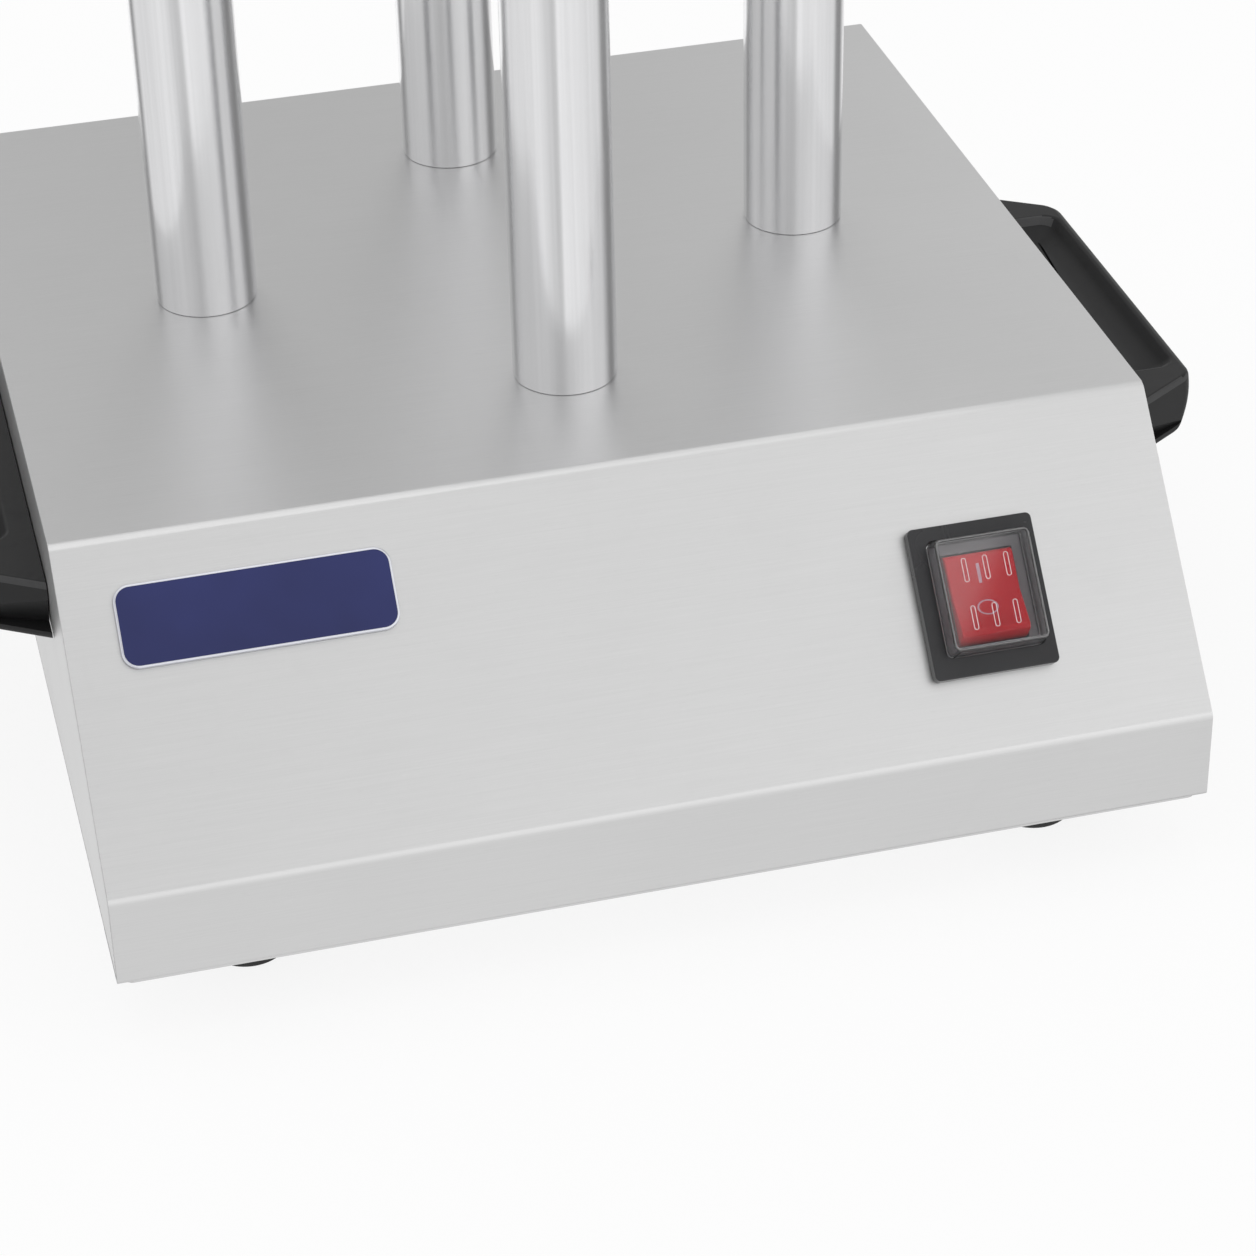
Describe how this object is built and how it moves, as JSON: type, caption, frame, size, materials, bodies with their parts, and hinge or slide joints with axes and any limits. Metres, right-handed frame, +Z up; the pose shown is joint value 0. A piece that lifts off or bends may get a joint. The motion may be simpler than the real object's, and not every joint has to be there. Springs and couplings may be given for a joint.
{
  "type": "hot dog spike machine",
  "caption": "Countertop bread warmer: sloped stainless housing with upright heated spikes, side handles, capped rocker switch and rubber feet.",
  "frame": {"origin": "on the surface that the feet stand on, in the middle of the overall length and width", "axes": "+Z up along the spikes, -Y towards the sloping front with the switch, +X towards the switch's side"},
  "size_m": [0.3246, 0.2986, 0.302],
  "materials": {
    "brushed_stainless": "fine horizontal brushed grain",
    "spike_metal": "satin, turned",
    "heater_steel": "drawn sheath, dull",
    "zinc_plated_steel": "bright zinc plate",
    "foot_rubber": "matt black",
    "handle_plastic": "fine moulded grain",
    "switch_plastic": "smooth, half gloss",
    "rocker_red": "smooth, white marks",
    "cover_clear": "clear soft plastic, glossy",
    "terminal_brass": "stamped, bright",
    "badge_enamel": "navy enamel, bare",
    "gland_nylon": "matt black nylon",
    "block_ceramic": "unglazed white",
    "lead_sleeve": "braided glass fibre sleeve",
    "earth_sleeve": "green, smooth"
  },
  "bodies": {
    "machine": {"housing_wrap": "brushed_stainless", "side_panel_left": "brushed_stainless", "side_panel_right": "brushed_stainless", "base_plate": "brushed_stainless", "spike_front": "spike_metal", "spike_left": "spike_metal", "spike_right": "spike_metal", "spike_rear": "spike_metal", "heater_front": "heater_steel", "heater_left": "heater_steel", "heater_right": "heater_steel", "heater_rear": "heater_steel", "spike_washer_front": "zinc_plated_steel", "spike_washer_left": "zinc_plated_steel", "spike_washer_right": "zinc_plated_steel", "spike_washer_rear": "zinc_plated_steel", "spike_nut_front": "zinc_plated_steel", "spike_nut_left": "zinc_plated_steel", "spike_nut_right": "zinc_plated_steel", "spike_nut_rear": "zinc_plated_steel", "foot_screw_front_left": "zinc_plated_steel", "foot_screw_front_right": "zinc_plated_steel", "foot_screw_rear_left": "zinc_plated_steel", "foot_screw_rear_right": "zinc_plated_steel", "base_screw_front_left": "zinc_plated_steel", "base_screw_front_right": "zinc_plated_steel", "base_screw_rear_left": "zinc_plated_steel", "base_screw_rear_right": "zinc_plated_steel", "handle_screw_left_front": "zinc_plated_steel", "handle_screw_left_rear": "zinc_plated_steel", "handle_screw_right_front": "zinc_plated_steel", "handle_screw_right_rear": "zinc_plated_steel", "terminal_block_screw": "zinc_plated_steel", "earth_screw": "zinc_plated_steel", "earth_nut": "zinc_plated_steel", "foot_front_left": "foot_rubber", "foot_front_right": "foot_rubber", "foot_rear_left": "foot_rubber", "foot_rear_right": "foot_rubber", "handle_left": "handle_plastic", "handle_right": "handle_plastic", "switch_body": "switch_plastic", "switch_cover": "cover_clear", "switch_terminal_1": "terminal_brass", "switch_terminal_2": "terminal_brass", "switch_terminal_3": "terminal_brass", "switch_terminal_4": "terminal_brass", "badge_plate": "badge_enamel", "gland_body": "gland_nylon", "gland_dome_nut": "gland_nylon", "gland_lock_nut": "gland_nylon", "terminal_block": "block_ceramic", "heater_lead_front": "lead_sleeve", "heater_lead_left": "lead_sleeve", "heater_lead_right": "lead_sleeve", "heater_lead_rear": "lead_sleeve", "switch_lead": "lead_sleeve", "earth_lead": "earth_sleeve"},
    "rocker": {"switch_rocker": "rocker_red"}
  },
  "joints": [
    {"name": "rocker_tilt", "type": "hinge", "parent": "machine", "child": "rocker", "pos_m": [0.0823, -0.12413, 0.06713], "axis": [1, 0, 0], "range_deg": [0, 18]}
  ]
}
